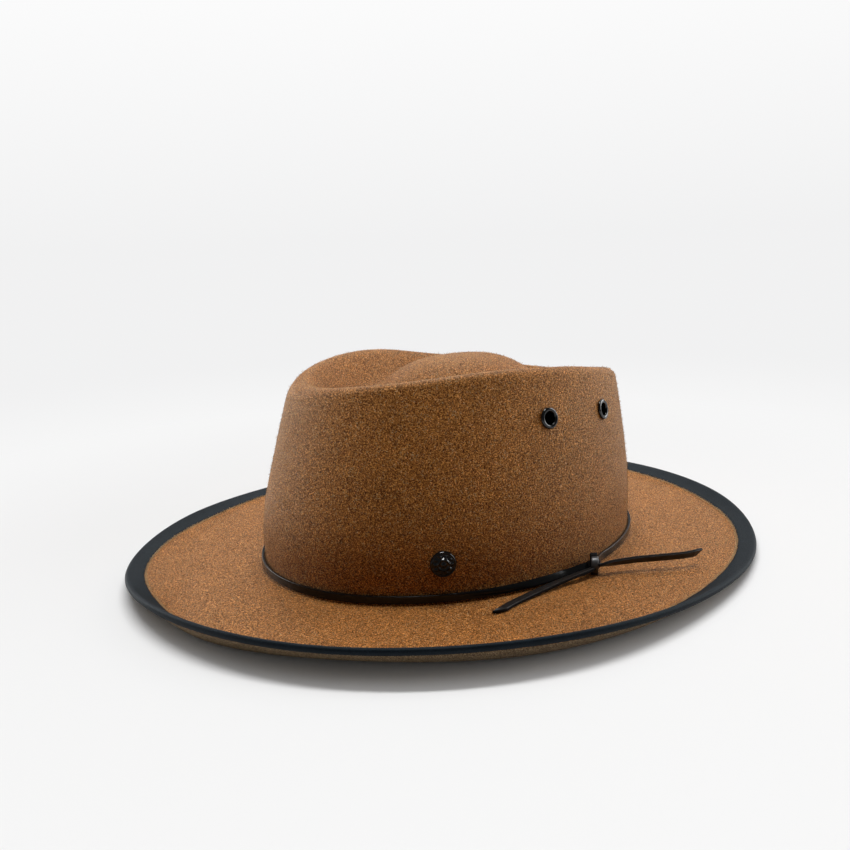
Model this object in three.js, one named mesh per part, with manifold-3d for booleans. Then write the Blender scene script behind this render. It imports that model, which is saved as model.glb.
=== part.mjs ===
// A felt safari hat with a pinched crown, a bound brim, a knotted leather lace, a stud and vent eyelets.
// Millimetres, +Z up. The hat's front is towards -Y and the wearer's left is towards +X.
// Heights in the tables and routes are measured from the top face of the flat part of the brim.
// Angles go round the hat in degrees, from its front (0) over the wearer's left (90) to its back (180).
import * as THREE from 'three';
import { mergeVertices } from 'three/addons/utils/BufferGeometryUtils.js';
import Module from 'manifold-3d';

const wasm = await Module();
wasm.setup();

// Driving sizes
const STEPS_AROUND = 56;
const GAP = 0.3;
const FELT = 2.5;
const CROWN_HALF_LENGTH = 104;
const CROWN_HALF_WIDTH = 83.7;
const FILLET = 3;
const WALL_LEAN_AT_RIM = THREE.MathUtils.degToRad(11.3);
const DOME_HEIGHT = 94.3;
const DOME_BACK_SHIFT = 7;
const DOME_ROUNDNESS = 1.6;
const CURL_POWER = 1.6;

// The crown wall, a row for every 25 mm of height: its size against the base oval, and its shift to the back
const WALL_ROW_HEIGHT = 25;
const WALL = [
  { scale: 1.0, shift: 0 },
  { scale: 0.996, shift: 0.5 },
  { scale: 0.958, shift: 2.95 },
  { scale: 0.904, shift: 5.4 },
  { scale: 0.845, shift: 7.0 },
];

// The crown's rim and crease, a row for every 30 degrees.
// inward is the crease's place as a share of the way from the middle of the top to the rim.
const CROWN_TOP = [
  { rim: 89.0, crease: 68, inward: 0.74, rimRadius: 6 },
  { rim: 92.7, crease: 71, inward: 0.7, rimRadius: 4.5 },
  { rim: 95.8, crease: 76, inward: 0.66, rimRadius: 4.5 },
  { rim: 93.2, crease: 76, inward: 0.66, rimRadius: 4.5 },
  { rim: 86.8, crease: 72, inward: 0.72, rimRadius: 4.5 },
  { rim: 78.5, crease: 69, inward: 0.8, rimRadius: 5 },
  { rim: 76.0, crease: 68, inward: 0.84, rimRadius: 5 },
  { rim: 78.5, crease: 69, inward: 0.8, rimRadius: 5 },
  { rim: 86.2, crease: 72, inward: 0.72, rimRadius: 5 },
  { rim: 92.8, crease: 76, inward: 0.68, rimRadius: 6 },
  { rim: 92.0, crease: 75, inward: 0.74, rimRadius: 9 },
  { rim: 87.5, crease: 70, inward: 0.76, rimRadius: 10 },
];

// The brim, a row for every 30 degrees: how far its edge turns up, over what width, and its whole width
const BRIM = [
  { lift: 11.6, curl: 13, width: 63.4 },
  { lift: 13.4, curl: 25, width: 67.5 },
  { lift: 12.6, curl: 18.3, width: 68.6 },
  { lift: 7.1, curl: 15, width: 64.2 },
  { lift: 2.8, curl: 20, width: 63.3 },
  { lift: 4.6, curl: 11, width: 61.6 },
  { lift: 5.6, curl: 18, width: 62.5 },
  { lift: 6.7, curl: 16.5, width: 64 },
  { lift: 5.9, curl: 18, width: 64.1 },
  { lift: 3.2, curl: 18, width: 63.7 },
  { lift: 4.9, curl: 14.3, width: 63.7 },
  { lift: 5, curl: 32, width: 65.2 },
];

// The binding: a ribbon folded over the edge, which is pared down to take it
const RIBBON = 0.5;
const RIBBON_ON_TOP = 8.3;
const RIBBON_BELOW = 2;
const RIBBON_FOLD_RADIUS = 1.1;
const RIBBON_FOLD_CORNER = 0.3;
const EDGE_PARING = 0.4;
const PARING_STEP = 0.1;
const TOP_PARING_START = RIBBON_ON_TOP + GAP;
const LOW_PARING_START = RIBBON_BELOW + GAP;
const FELT_SET_BACK = 1.2;

// The lace
const LACE_WIDTH = 3.4;
const LACE_THICKNESS = 1.4;
const LACE_BEVEL = 0.3;
const BAND_LEAN = THREE.MathUtils.degToRad(15);
const BAND_HEIGHT = 2.8;
const BAND_STAND_OFF = 1.7;
const BAND_HEIGHT_AT_KNOT = 4.6;
const BAND_STAND_OFF_AT_KNOT = 4.4;
const BAND_REACH_TO_KNOT = 14;
const BAND_STEPS = 84;
const END_IN_KNOT = 0.8;
const KNOT_ANGLE = 90;
const KNOT = new THREE.Vector3(90.6, -0.4, 4.7);
const KNOT_CORE = new THREE.Vector3(3.2, 3.2, 4.1);
const KNOT_LOOPS = [
  { turn: 30, radius: 3.2, height: 3.5, move: [0, 0, -0.1] },
  { turn: -12, radius: 2.9, height: 3.3, move: [-0.9, -1.4, 0.7] },
];

// The lace's two free ends, as points along the middle of each, starting inside the knot
const FRONT_TAIL = [
  [91.7, -1.6, 3.4], [91.6, -4.4, 3.3], [91.3, -6.8, 3.25], [90.9, -9.4, 3.15], [90.4, -12.2, 3.0],
  [89.9, -15.2, 2.85], [89.3, -18.4, 2.65], [88.6, -22.0, 2.4], [87.9, -26.0, 2.1], [87.3, -30.0, 1.85],
  [86.9, -34.0, 1.65], [86.5, -38.3, 1.45], [86.2, -42.7, 1.3], [86.0, -47.2, 1.15], [85.9, -52.4, 1.1],
  [86.3, -57.3, 1.1], [87.1, -63.2, 1.1],
];
const REAR_TAIL = [
  [93.2, -1.8, 4.8], [94.6, 0.4, 4.9], [95.3, 1.7, 5.0], [96.3, 3.5, 5.1], [97.5, 5.6, 5.2], [99.1, 8.1, 5.3],
  [101.0, 10.9, 5.4], [102.9, 13.7, 5.5], [105.0, 16.4, 5.55], [107.1, 18.9, 5.65], [109.2, 21.4, 5.7],
  [111.3, 23.9, 5.8], [113.4, 26.5, 5.85], [115.5, 29.2, 5.9], [117.5, 31.9, 6.0], [119.0, 34.6, 6.1],
  [120.9, 38.9, 6.3],
];
const TAIL_STEPS = 18;

// The stud and the eyelets
const STUD = { angle: 47.5, height: 17.8 };
const STUD_RADIUS = 5.75;
const STUD_HEIGHT = 3.2;
const STUD_POST_RADIUS = 1.3;
const STUD_POST_BEYOND_FELT = 1.8;
const STUD_BACK_RADIUS = 5;
const STUD_BACK_THICKNESS = 0.8;
const STUD_BACK_CLEARANCE = 0.7;
const EYELETS = [
  { name: 'eyelet_left_front', angle: 78.8, height: 73.0 },
  { name: 'eyelet_left_rear', angle: 104.5, height: 70.3 },
  { name: 'eyelet_right_front', angle: -78.8, height: 73.0 },
  { name: 'eyelet_right_rear', angle: -104.5, height: 70.3 },
];
const EYELET_RADIUS = 4.9;
const EYELET_HOLE_RADIUS = 3;
const EYELET_BARREL_RADIUS = 3.5;
const EYELET_HEIGHT = 1.35;
const EYELET_BACK_THICKNESS = 0.8;
const EYELET_BACK_CLEARANCE = 0.5;
const ROUND_STEPS = 18;

// Materials
const felt = new THREE.MeshStandardMaterial({ color: 0x9a6f42, roughness: 0.95, metalness: 0 });
const ribbon = new THREE.MeshStandardMaterial({ color: 0x23262e, roughness: 0.8, metalness: 0 });
const leather = new THREE.MeshStandardMaterial({ color: 0x151517, roughness: 0.4, metalness: 0 });
const enamel = new THREE.MeshStandardMaterial({ color: 0x0b0b0c, roughness: 0.18, metalness: 0.4 });

// Smooth curves through the tables
function between(before, start, end, after, share) {
  const startSlope = (end - before) / 2;
  const endSlope = (after - start) / 2;
  const cubic = 2 * (start - end) + startSlope + endSlope;
  const square = 3 * (end - start) - 2 * startSlope - endSlope;
  return ((cubic * share + square) * share + startSlope) * share + start;
}

function around(table, column, angle) {
  const place = ((((angle % 360) + 360) % 360) / 360) * table.length;
  const row = Math.floor(place);
  const value = (offset) => table[(row + offset + table.length) % table.length][column];
  return between(value(-1), value(0), value(1), value(2), place - row);
}

function upTheWall(column, height) {
  const place = Math.max(0, height) / WALL_ROW_HEIGHT;
  const row = Math.min(Math.floor(place), WALL.length - 2);
  const value = (offset) => WALL[THREE.MathUtils.clamp(row + offset, 0, WALL.length - 1)][column];
  return between(value(-1), value(0), value(1), value(2), place - row);
}

// Places on the hat's outer surface, and depth under it
function outward(angle) {
  const turn = THREE.MathUtils.degToRad(angle);
  const across = Math.sin(turn) / CROWN_HALF_WIDTH;
  const along = -Math.cos(turn) / CROWN_HALF_LENGTH;
  return new THREE.Vector3(across, along, 0).normalize();
}

function wallPlace(angle, height) {
  const turn = THREE.MathUtils.degToRad(angle);
  const scale = upTheWall('scale', height);
  const x = CROWN_HALF_WIDTH * scale * Math.sin(turn);
  const y = -CROWN_HALF_LENGTH * scale * Math.cos(turn) + upTheWall('shift', height);
  return new THREE.Vector3(x, y, height);
}

function wallNormal(angle, height) {
  const side = outward(angle);
  const rise = wallPlace(angle, height + 1).sub(wallPlace(angle, height - 1));
  const inwards = -rise.dot(side) / 2;
  return new THREE.Vector3(side.x, side.y, inwards).normalize();
}

function wallPoint(angle, height, depth) {
  return wallPlace(angle, height).addScaledVector(wallNormal(angle, height), -depth);
}

function rimStart(angle) {
  const radius = around(CROWN_TOP, 'rimRadius', angle);
  return around(CROWN_TOP, 'rim', angle) - radius * (1 - Math.sin(WALL_LEAN_AT_RIM));
}

function rimPoint(angle, tilt, depth) {
  const radius = around(CROWN_TOP, 'rimRadius', angle);
  const side = outward(angle);
  const centre = wallPlace(angle, rimStart(angle));
  centre.addScaledVector(side, -radius * Math.cos(WALL_LEAN_AT_RIM));
  centre.z -= radius * Math.sin(WALL_LEAN_AT_RIM);
  centre.addScaledVector(side, (radius - depth) * Math.cos(tilt));
  centre.z += (radius - depth) * Math.sin(tilt);
  return centre;
}

function topPlace(angle, reach) {
  const rim = rimPoint(angle, Math.PI / 2, 0);
  const crease = around(CROWN_TOP, 'crease', angle);
  const inward = around(CROWN_TOP, 'inward', angle);
  const place = new THREE.Vector3(reach * rim.x, DOME_BACK_SHIFT + reach * (rim.y - DOME_BACK_SHIFT), 0);
  if (reach <= inward) {
    const fall = 0.5 + 0.5 * Math.cos(Math.PI * (reach / inward) ** DOME_ROUNDNESS);
    place.z = crease + (DOME_HEIGHT - crease) * fall;
  } else {
    const climb = THREE.MathUtils.smoothstep(reach, inward, 1);
    place.z = crease + (rim.z - crease) * climb;
  }
  return place;
}

function topPoint(angle, reach, depth) {
  const turn = topPlace(angle + 1, reach).sub(topPlace(angle - 1, reach));
  const run = topPlace(angle, reach + 0.01).sub(topPlace(angle, reach - 0.01));
  const normal = run.cross(turn).normalize();
  return topPlace(angle, reach).addScaledVector(normal, -depth);
}

function filletPoint(angle, tilt, depth) {
  const side = outward(angle);
  const place = wallPlace(angle, 0).addScaledVector(side, FILLET - (FILLET + depth) * Math.cos(tilt));
  place.z = FILLET - (FILLET + depth) * Math.sin(tilt);
  return place;
}

function brimPoint(angle, fromEdge, depth) {
  const width = around(BRIM, 'width', angle);
  const curl = around(BRIM, 'curl', angle);
  const lift = around(BRIM, 'lift', angle);
  const out = width - fromEdge;
  const share = Math.max(0, (out - width + curl) / curl);
  const slope = (lift * CURL_POWER * share ** (CURL_POWER - 1)) / curl;
  const lean = Math.atan(slope);
  const place = wallPlace(angle, 0).addScaledVector(outward(angle), out + depth * Math.sin(lean));
  place.z = lift * share ** CURL_POWER - depth * Math.cos(lean);
  return place;
}

// Closed skins from rings of points
function ring(place) {
  const points = [];
  for (let step = 0; step < STEPS_AROUND; step += 1) {
    points.push(place((360 * step) / STEPS_AROUND));
  }
  return points;
}

function volumeOf(points, faces) {
  let volume = 0;
  for (const [a, b, c] of faces) {
    volume += points[a].dot(points[b].clone().cross(points[c])) / 6;
  }
  return volume;
}

function geometryOf(points, faces) {
  const outwards = volumeOf(points, faces) > 0;
  const index = faces.flatMap(([a, b, c]) => (outwards ? [a, b, c] : [a, c, b]));
  const geometry = new THREE.BufferGeometry();
  const numbers = points.flatMap((point) => point.toArray());
  geometry.setAttribute('position', new THREE.Float32BufferAttribute(numbers, 3));
  geometry.setIndex(index);
  return geometry;
}

function skin(rings, { joined = false, startPoint = null, endPoint = null }) {
  const size = rings[0].length;
  const points = rings.flat();
  const faces = [];
  const last = joined ? rings.length : rings.length - 1;
  for (let row = 0; row < last; row += 1) {
    const next = (row + 1) % rings.length;
    for (let step = 0; step < size; step += 1) {
      const beside = (step + 1) % size;
      faces.push([row * size + step, row * size + beside, next * size + beside]);
      faces.push([row * size + step, next * size + beside, next * size + step]);
    }
  }
  if (!joined) {
    const start = points.push(startPoint) - 1;
    const end = points.push(endPoint) - 1;
    const base = (rings.length - 1) * size;
    for (let step = 0; step < size; step += 1) {
      const beside = (step + 1) % size;
      faces.push([start, beside, step]);
      faces.push([end, base + step, base + beside]);
    }
  }
  return geometryOf(points, faces);
}

function middle(points) {
  const sum = new THREE.Vector3();
  points.forEach((point) => sum.add(point));
  return sum.divideScalar(points.length);
}

function cappedSkin(rings) {
  return skin(rings, { startPoint: middle(rings[0]), endPoint: middle(rings.at(-1)) });
}

// Joining and cutting
function solid(geometry) {
  const bare = geometry.clone();
  bare.deleteAttribute('normal');
  bare.deleteAttribute('uv');
  const merged = mergeVertices(bare, 1e-4);
  const mesh = new wasm.Mesh({
    numProp: 3,
    vertProperties: new Float32Array(merged.attributes.position.array),
    triVerts: new Uint32Array(merged.index.array),
  });
  return new wasm.Manifold(mesh);
}

function geometryFrom(manifold) {
  const mesh = manifold.getMesh();
  const geometry = new THREE.BufferGeometry();
  geometry.setAttribute('position', new THREE.BufferAttribute(mesh.vertProperties, 3));
  geometry.setIndex(new THREE.BufferAttribute(mesh.triVerts, 1));
  return geometry;
}

function cut(geometry, cutters) {
  let result = solid(geometry);
  for (const cutter of cutters) {
    result = result.subtract(solid(cutter));
  }
  return geometryFrom(result);
}

function join(geometries) {
  let result = solid(geometries[0]);
  for (const geometry of geometries.slice(1)) {
    result = result.add(solid(geometry));
  }
  return geometryFrom(result);
}

// Round pieces that go through the crown wall, their axis along its normal
function seat(place) {
  const origin = wallPlace(place.angle, place.height);
  const normal = wallNormal(place.angle, place.height);
  const turn = new THREE.Quaternion().setFromUnitVectors(new THREE.Vector3(0, 1, 0), normal);
  return { origin, turn };
}

// A profile is pairs of radius and height above the felt, down the outside and up the inside
function turned(profile) {
  const points = profile.map(([radius, height]) => new THREE.Vector2(radius, height));
  return new THREE.LatheGeometry(points.reverse(), ROUND_STEPS);
}

function drill(place, radius) {
  const { origin, turn } = seat(place);
  const hole = new THREE.CylinderGeometry(radius, radius, 6 * FELT, ROUND_STEPS);
  hole.applyQuaternion(turn);
  hole.translate(origin.x, origin.y, origin.z);
  return hole;
}

// The places that both faces of the felt share, from the middle of the top to the start of the brim
function crownPlaces() {
  const places = [];
  for (const share of [0.25, 0.45, 0.65, 0.85, 1]) {
    places.push((angle, depth) => topPoint(angle, share * around(CROWN_TOP, 'inward', angle), depth));
  }
  for (const share of [0.3, 0.6, 0.85]) {
    places.push((angle, depth) => {
      const inward = around(CROWN_TOP, 'inward', angle);
      return topPoint(angle, THREE.MathUtils.lerp(inward, 1, share), depth);
    });
  }
  for (const share of [1, 0.6, 0.3, 0]) {
    const tilt = THREE.MathUtils.lerp(WALL_LEAN_AT_RIM, Math.PI / 2, share);
    places.push((angle, depth) => rimPoint(angle, tilt, depth));
  }
  for (const share of [0.8, 0.6, 0.4, 0.2]) {
    places.push((angle, depth) => {
      const height = THREE.MathUtils.lerp(FILLET, rimStart(angle), share);
      return wallPoint(angle, height, depth);
    });
  }
  for (const tilt of [0, Math.PI / 6, Math.PI / 3, Math.PI / 2]) {
    places.push((angle, depth) => filletPoint(angle, tilt, depth));
  }
  return places;
}

function brimPlaces() {
  const places = [];
  for (const share of [0.12, 0.88]) {
    places.push((angle, depth) => {
      const curl = around(BRIM, 'curl', angle);
      const flatEnd = around(BRIM, 'width', angle) - FILLET;
      return brimPoint(angle, THREE.MathUtils.lerp(flatEnd, curl, share), depth);
    });
  }
  for (const share of [0, 0.25, 0.5]) {
    places.push((angle, depth) => {
      const curl = Math.max(around(BRIM, 'curl', angle), TOP_PARING_START + 1);
      return brimPoint(angle, THREE.MathUtils.lerp(curl, TOP_PARING_START, share), depth);
    });
  }
  places.push((angle, depth) => brimPoint(angle, TOP_PARING_START, depth));
  return places;
}

// The felt's edge is thinner under the ribbon, on the top and below
function paredEdge(start, depth, paredDepth) {
  const places = [
    { fromEdge: start, depth },
    { fromEdge: start - PARING_STEP, depth: paredDepth },
    { fromEdge: Math.max(start / 2, FELT_SET_BACK + PARING_STEP), depth: paredDepth },
    { fromEdge: FELT_SET_BACK, depth: paredDepth },
  ];
  return places.map((place) => ring((angle) => brimPoint(angle, place.fromEdge, place.depth)));
}

function feltBody() {
  const places = [...crownPlaces(), ...brimPlaces()];
  const outside = places.map((place) => ring((angle) => place(angle, 0)));
  const inside = places.map((place) => ring((angle) => place(angle, FELT)));
  outside.push(...paredEdge(TOP_PARING_START, 0, EDGE_PARING).slice(1));
  inside.push(...paredEdge(LOW_PARING_START, FELT, FELT - EDGE_PARING));
  const topMiddle = new THREE.Vector3(0, DOME_BACK_SHIFT, DOME_HEIGHT);
  const underMiddle = new THREE.Vector3(0, DOME_BACK_SHIFT, DOME_HEIGHT - FELT);
  const rings = outside.concat(inside.reverse());
  const body = skin(rings, { startPoint: topMiddle, endPoint: underMiddle });
  const holes = EYELETS.map((place) => drill(place, EYELET_BARREL_RADIUS + GAP));
  holes.push(drill(STUD, STUD_POST_RADIUS + GAP));
  return cut(body, holes);
}

function brimBinding() {
  const over = EDGE_PARING - GAP;
  const under = FELT - EDGE_PARING + GAP;
  const mid = FELT / 2;
  const innerFold = FELT_SET_BACK - GAP / 1.5;
  const profile = [
    { fromEdge: RIBBON_ON_TOP, depth: over },
    { fromEdge: RIBBON_ON_TOP / 2, depth: over },
    { fromEdge: innerFold, depth: over },
    { fromEdge: RIBBON, depth: mid },
    { fromEdge: innerFold, depth: under },
    { fromEdge: RIBBON_BELOW, depth: under },
    { fromEdge: RIBBON_BELOW, depth: under + RIBBON },
    { fromEdge: RIBBON_FOLD_RADIUS, depth: under + RIBBON },
    { fromEdge: RIBBON_FOLD_CORNER, depth: FELT - RIBBON_FOLD_CORNER },
    { fromEdge: 0, depth: mid },
    { fromEdge: RIBBON_FOLD_CORNER, depth: RIBBON_FOLD_CORNER },
    { fromEdge: RIBBON_FOLD_RADIUS, depth: over - RIBBON },
    { fromEdge: RIBBON_ON_TOP / 2, depth: over - RIBBON },
    { fromEdge: RIBBON_ON_TOP, depth: over - RIBBON },
  ];
  const rings = profile.map(({ fromEdge, depth }) => ring((angle) => brimPoint(angle, fromEdge, depth)));
  return skin(rings, { joined: true });
}

// The knot: a core with two turns of lace drawn tight round it, grown by a gap when it cuts its neighbours
function laceLoop(loop, grow) {
  const turn = THREE.MathUtils.degToRad(loop.turn);
  const axis = new THREE.Vector3(Math.sin(turn), Math.cos(turn), 0);
  const side = new THREE.Vector3(Math.cos(turn), -Math.sin(turn), 0);
  const up = new THREE.Vector3(0, 0, 1);
  const centre = new THREE.Vector3(...loop.move).add(KNOT);
  const halfWidth = LACE_WIDTH / 2 + grow;
  const halfThickness = LACE_THICKNESS / 2 + grow;
  const rings = [];
  for (let step = 0; step < ROUND_STEPS; step += 1) {
    const swing = (2 * Math.PI * step) / ROUND_STEPS;
    const away = side.clone().multiplyScalar(Math.cos(swing)).addScaledVector(up, Math.sin(swing));
    const place = centre.clone().addScaledVector(side, loop.radius * Math.cos(swing));
    place.addScaledVector(up, loop.height * Math.sin(swing));
    const corner = (wide, thick) => place.clone().addScaledVector(axis, wide).addScaledVector(away, thick);
    rings.push([
      corner(-halfWidth, -halfThickness),
      corner(-halfWidth, halfThickness),
      corner(halfWidth, halfThickness),
      corner(halfWidth, -halfThickness),
    ]);
  }
  return skin(rings, { joined: true });
}

function knotShape(grow) {
  const core = new THREE.SphereGeometry(1, 16, 10);
  core.rotateX(Math.PI / 2);
  core.scale(KNOT_CORE.x + grow, KNOT_CORE.y + grow, KNOT_CORE.z + grow);
  core.translate(KNOT.x, KNOT.y, KNOT.z);
  return join([core, ...KNOT_LOOPS.map((loop) => laceLoop(loop, grow))]);
}

function bandSection(angle) {
  const away = Math.abs(angle - KNOT_ANGLE);
  const nearness = 1 - THREE.MathUtils.smoothstep(Math.min(away, 360 - away), 0, BAND_REACH_TO_KNOT);
  const standOff = THREE.MathUtils.lerp(BAND_STAND_OFF, BAND_STAND_OFF_AT_KNOT, nearness);
  const centre = wallPlace(angle, 0).addScaledVector(outward(angle), standOff);
  centre.z = THREE.MathUtils.lerp(BAND_HEIGHT, BAND_HEIGHT_AT_KNOT, nearness);
  const side = outward(angle);
  const wide = side.clone().multiplyScalar(-Math.sin(BAND_LEAN));
  wide.z = Math.cos(BAND_LEAN);
  const thick = side.clone().multiplyScalar(Math.cos(BAND_LEAN));
  thick.z = Math.sin(BAND_LEAN);
  wide.multiplyScalar(LACE_WIDTH / 2);
  thick.multiplyScalar(LACE_THICKNESS / 2);
  const corner = (across, through) => {
    return centre.clone().addScaledVector(wide, across).addScaledVector(thick, through);
  };
  return [corner(-1, -1), corner(-1, 1), corner(1, 1), corner(1, -1)];
}

function bandLace() {
  const sections = [];
  for (let step = 0; step <= BAND_STEPS; step += 1) {
    const share = step / BAND_STEPS;
    sections.push(bandSection(KNOT_ANGLE + THREE.MathUtils.lerp(END_IN_KNOT, 360 - END_IN_KNOT, share)));
  }
  return cut(cappedSkin(sections), [knotShape(GAP)]);
}

function laceTail(route) {
  const path = new THREE.CatmullRomCurve3(route.map((point) => new THREE.Vector3(...point)));
  const halfWidth = LACE_WIDTH / 2;
  const halfThickness = LACE_THICKNESS / 2;
  const bevel = LACE_BEVEL;
  const outline = new THREE.Shape([
    new THREE.Vector2(-halfWidth, -halfThickness + bevel),
    new THREE.Vector2(-halfWidth + bevel, -halfThickness),
    new THREE.Vector2(halfWidth - bevel, -halfThickness),
    new THREE.Vector2(halfWidth, -halfThickness + bevel),
    new THREE.Vector2(halfWidth, halfThickness - bevel),
    new THREE.Vector2(halfWidth - bevel, halfThickness),
    new THREE.Vector2(-halfWidth + bevel, halfThickness),
    new THREE.Vector2(-halfWidth, halfThickness - bevel),
  ]);
  const tail = new THREE.ExtrudeGeometry(outline, { steps: TAIL_STEPS, extrudePath: path });
  return cut(tail, [knotShape(GAP)]);
}

function studCap() {
  const rimHeight = 0.7;
  const rise = STUD_HEIGHT - rimHeight;
  const dome = new THREE.EllipseCurve(0, rimHeight, STUD_RADIUS, rise, Math.PI / 2, 0, true);
  const domePoints = dome.getPoints(4).map((point) => [point.x, point.y]);
  const postEnd = -FELT - STUD_POST_BEYOND_FELT;
  domePoints[0][0] = 0;
  return turned([
    ...domePoints,
    [STUD_RADIUS, GAP],
    [STUD_POST_RADIUS, GAP],
    [STUD_POST_RADIUS, postEnd],
    [0, postEnd],
  ]);
}

function studBack() {
  const near = -FELT - STUD_BACK_CLEARANCE;
  const far = near - STUD_BACK_THICKNESS;
  const bore = STUD_POST_RADIUS + GAP;
  return turned([
    [bore, near],
    [STUD_BACK_RADIUS, near],
    [STUD_BACK_RADIUS, far],
    [bore, far],
    [bore, near],
  ]);
}

function eyelet() {
  const under = GAP + 0.1;
  const shoulder = EYELET_HEIGHT / 2;
  const near = -FELT - EYELET_BACK_CLEARANCE;
  const far = near - EYELET_BACK_THICKNESS;
  return turned([
    [EYELET_HOLE_RADIUS, shoulder],
    [EYELET_HOLE_RADIUS + 0.4, EYELET_HEIGHT - 0.15],
    [(EYELET_HOLE_RADIUS + EYELET_RADIUS) / 2, EYELET_HEIGHT],
    [EYELET_RADIUS - 0.3, EYELET_HEIGHT - 0.35],
    [EYELET_RADIUS, under],
    [EYELET_BARREL_RADIUS, under],
    [EYELET_BARREL_RADIUS, near],
    [EYELET_RADIUS - 0.3, near],
    [EYELET_RADIUS - 0.6, far],
    [EYELET_HOLE_RADIUS, far],
    [EYELET_HOLE_RADIUS, shoulder],
  ]);
}

// The hat
const hat = new THREE.Group();
hat.position.z = FELT;

function addPiece(name, geometry, material, place = null) {
  const mesh = new THREE.Mesh(geometry, material);
  mesh.name = name;
  if (place) {
    const { origin, turn } = seat(place);
    mesh.position.copy(origin);
    mesh.quaternion.copy(turn);
  }
  hat.add(mesh);
}

addPiece('felt_body', feltBody(), felt);
addPiece('brim_binding', brimBinding(), ribbon);
addPiece('band_lace', bandLace(), leather);
addPiece('lace_knot', knotShape(0), leather);
addPiece('lace_tail_front', laceTail(FRONT_TAIL), leather);
addPiece('lace_tail_rear', laceTail(REAR_TAIL), leather);
addPiece('stud_cap', studCap(), enamel, STUD);
addPiece('stud_back', studBack(), enamel, STUD);
for (const place of EYELETS) {
  addPiece(place.name, eyelet(), enamel, place);
}

const model = new THREE.Group();
model.add(hat);

export default model;
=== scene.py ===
# A felt safari hat with a pinched crown, a bound brim, a knotted leather lace, a stud and vent eyelets.
# Tables and helpers are in millimetres, the meshes in metres. Heights are above the brim's flat top. Angles
# go round the hat in degrees, from its front (0, towards -Y) over the wearer's left (90, +X) to its back.
import math
import bpy
import numpy as np
from mathutils import Matrix, Vector


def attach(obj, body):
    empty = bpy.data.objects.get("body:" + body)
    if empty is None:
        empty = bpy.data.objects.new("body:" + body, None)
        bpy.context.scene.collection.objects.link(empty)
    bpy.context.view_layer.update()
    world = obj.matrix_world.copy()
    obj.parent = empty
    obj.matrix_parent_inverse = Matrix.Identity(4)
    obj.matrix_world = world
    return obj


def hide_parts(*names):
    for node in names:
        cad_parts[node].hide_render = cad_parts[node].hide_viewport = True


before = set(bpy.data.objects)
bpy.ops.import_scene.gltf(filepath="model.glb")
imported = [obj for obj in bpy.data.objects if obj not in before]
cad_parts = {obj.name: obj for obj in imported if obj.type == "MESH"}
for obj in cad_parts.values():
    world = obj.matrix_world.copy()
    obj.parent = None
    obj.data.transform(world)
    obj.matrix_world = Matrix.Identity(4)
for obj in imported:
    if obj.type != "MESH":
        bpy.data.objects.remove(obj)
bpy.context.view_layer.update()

MM = 0.001

# The felt's thickness, and the gap between pieces that lie against each other
FELT = 2.5
GAP = 0.3

# The crown: its base oval, the rounding at its foot, its wall's lean under the rim, and its raised middle
CROWN_HALF_LENGTH = 104
CROWN_HALF_WIDTH = 83.7
FILLET = 3
WALL_LEAN_AT_RIM = math.radians(11.3)
DOME_HEIGHT = 94.3
DOME_BACK_SHIFT = 7
DOME_ROUNDNESS = 1.6

# The crown wall, a row for every 25 mm of height: its size against the base oval, and its shift to the back
WALL_ROW_HEIGHT = 25
WALL = [
    {"scale": 1.0, "shift": 0},
    {"scale": 0.996, "shift": 0.5},
    {"scale": 0.958, "shift": 2.95},
    {"scale": 0.904, "shift": 5.4},
    {"scale": 0.845, "shift": 7.0},
]

# The crown's rim and crease, a row for every 30 degrees
CROWN_TOP = [
    {"rim": 89.0, "crease": 68, "inward": 0.74, "rim_radius": 6},
    {"rim": 92.7, "crease": 71, "inward": 0.7, "rim_radius": 4.5},
    {"rim": 95.8, "crease": 76, "inward": 0.66, "rim_radius": 4.5},
    {"rim": 93.2, "crease": 76, "inward": 0.66, "rim_radius": 4.5},
    {"rim": 86.8, "crease": 72, "inward": 0.72, "rim_radius": 4.5},
    {"rim": 78.5, "crease": 69, "inward": 0.8, "rim_radius": 5},
    {"rim": 76.0, "crease": 68, "inward": 0.84, "rim_radius": 5},
    {"rim": 78.5, "crease": 69, "inward": 0.8, "rim_radius": 5},
    {"rim": 86.2, "crease": 72, "inward": 0.72, "rim_radius": 5},
    {"rim": 92.8, "crease": 76, "inward": 0.68, "rim_radius": 6},
    {"rim": 92.0, "crease": 75, "inward": 0.74, "rim_radius": 9},
    {"rim": 87.5, "crease": 70, "inward": 0.76, "rim_radius": 10},
]

# The brim, a row for every 30 degrees: how far its edge turns up, over what width, and its whole width. The
# power says how suddenly the edge turns up.
CURL_POWER = 1.6
BRIM = [
    {"lift": 11.6, "curl": 13, "width": 63.4},
    {"lift": 13.4, "curl": 25, "width": 67.5},
    {"lift": 12.6, "curl": 18.3, "width": 68.6},
    {"lift": 7.1, "curl": 15, "width": 64.2},
    {"lift": 2.8, "curl": 20, "width": 63.3},
    {"lift": 4.6, "curl": 11, "width": 61.6},
    {"lift": 5.6, "curl": 18, "width": 62.5},
    {"lift": 6.7, "curl": 16.5, "width": 64},
    {"lift": 5.9, "curl": 18, "width": 64.1},
    {"lift": 3.2, "curl": 18, "width": 63.7},
    {"lift": 4.9, "curl": 14.3, "width": 63.7},
    {"lift": 5, "curl": 32, "width": 65.2},
]

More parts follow.
